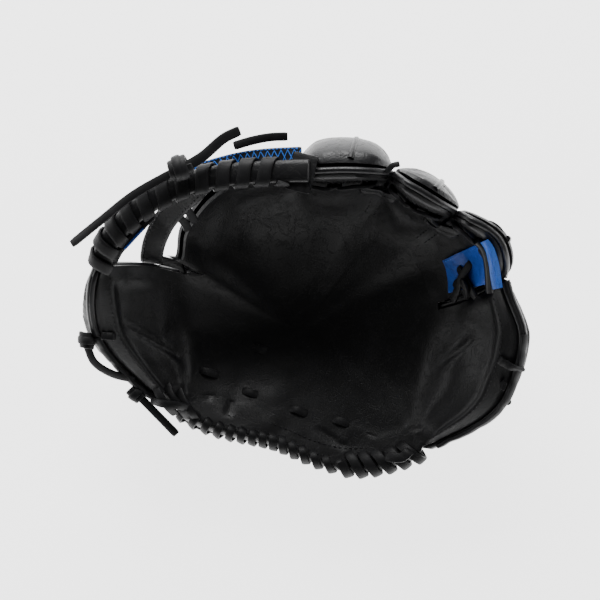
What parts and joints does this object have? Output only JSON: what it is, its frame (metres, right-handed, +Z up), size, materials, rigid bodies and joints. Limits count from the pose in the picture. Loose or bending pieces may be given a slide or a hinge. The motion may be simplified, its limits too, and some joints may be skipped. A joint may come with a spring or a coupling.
{
  "type": "catch glove",
  "caption": "Black leather catch glove for the left hand: padded thumb and finger stalls round a deep pocket, laced web with a wrapped top bar, blue fingertip tab and wrist strap.",
  "frame": {"origin": "on the flat of the back leather that the glove lies on, 20 mm towards the fingers from the point below the deepest part of the pocket", "axes": "+Z up out of the pocket, +Y from the heel towards the fingertips, +X towards the little finger"},
  "size_m": [0.2854, 0.2205, 0.1532],
  "materials": {
    "palm_leather": "oiled smooth black leather, satin, slightly creased",
    "back_leather": "smooth black leather with a fine grain, satin",
    "welt_leather": "rolled black leather, satin",
    "rawhide_lace": "black rawhide lace, waxed, satin",
    "blue_leather": "royal blue leather, satin",
    "lining_leather": "soft dark grey lining leather, matte",
    "felt": "pressed wool felt, matte",
    "plastic_plate": "moulded stiffener, matte",
    "hook_and_loop": "hook and loop tape, matte"
  },
  "bodies": {
    "hand": {"palm_leather": "palm_leather", "heel_felt": "felt", "palm_lining": "lining_leather", "heel_band": "back_leather", "heel_lace": "rawhide_lace", "back_leather": "back_leather", "back_lining": "lining_leather", "index_back": "back_leather", "index_felt": "felt", "index_lining": "lining_leather", "index_welt": "welt_leather", "middle_back": "back_leather", "middle_felt": "felt", "middle_lining": "lining_leather", "middle_welt": "welt_leather", "ring_back": "back_leather", "ring_felt": "felt", "ring_lining": "lining_leather", "ring_welt": "welt_leather", "web_top_bar": "palm_leather", "web_wrap_lace": "rawhide_lace", "web_post": "palm_leather", "web_mesh_strip": "blue_leather", "web_knot": "rawhide_lace", "web_lace_end_left": "rawhide_lace", "web_lace_end_right": "rawhide_lace", "web_lace_end_mesh": "rawhide_lace", "palm_tie_lace_1": "rawhide_lace", "palm_tie_lace_2": "rawhide_lace", "palm_tie_lace_3": "rawhide_lace", "palm_tie_lace_4": "rawhide_lace", "palm_tie_lace_5": "rawhide_lace", "index_middle_lace": "rawhide_lace", "middle_ring_lace": "rawhide_lace", "finger_tab": "blue_leather", "tab_lace": "rawhide_lace", "strap_loop_patch": "hook_and_loop"},
    "thumb_side": {"thumb_palm_leather": "palm_leather", "thumb_back_leather": "back_leather", "thumb_felt": "felt", "thumb_stiffener": "plastic_plate", "thumb_lining": "lining_leather", "thumb_welt": "welt_leather", "thumb_edge_lace": "rawhide_lace", "thumb_lace_end": "rawhide_lace"},
    "little_side": {"little_palm_leather": "palm_leather", "little_back_leather": "back_leather", "little_felt": "felt", "little_stiffener": "plastic_plate", "little_lining": "lining_leather", "little_welt": "welt_leather", "little_edge_lace": "rawhide_lace"},
    "wrist_strap": {"wrist_strap": "back_leather", "strap_hook_patch": "hook_and_loop"}
  },
  "joints": [
    {"name": "thumb_fold", "type": "hinge", "parent": "hand", "child": "thumb_side", "pos_m": [-0.069, -0.024, 0.069], "axis": [-0.0602, 0.9635, 0.2609], "range_deg": [0, 25], "deforming": ["web_top_bar", "web_wrap_lace", "web_post", "web_mesh_strip", "web_knot", "web_lace_end_left", "web_lace_end_right", "web_lace_end_mesh"]},
    {"name": "little_fold", "type": "hinge", "parent": "hand", "child": "little_side", "pos_m": [0.076, -0.045, 0.06], "axis": [-0.2034, -0.9763, -0.0734], "range_deg": [0, 18], "deforming": ["finger_tab", "tab_lace"]},
    {"name": "wrist_strap_open", "type": "hinge", "parent": "hand", "child": "wrist_strap", "pos_m": [0.05, -0.074, 0.0032], "axis": [0, -1, 0], "range_deg": [0, 75]}
  ]
}
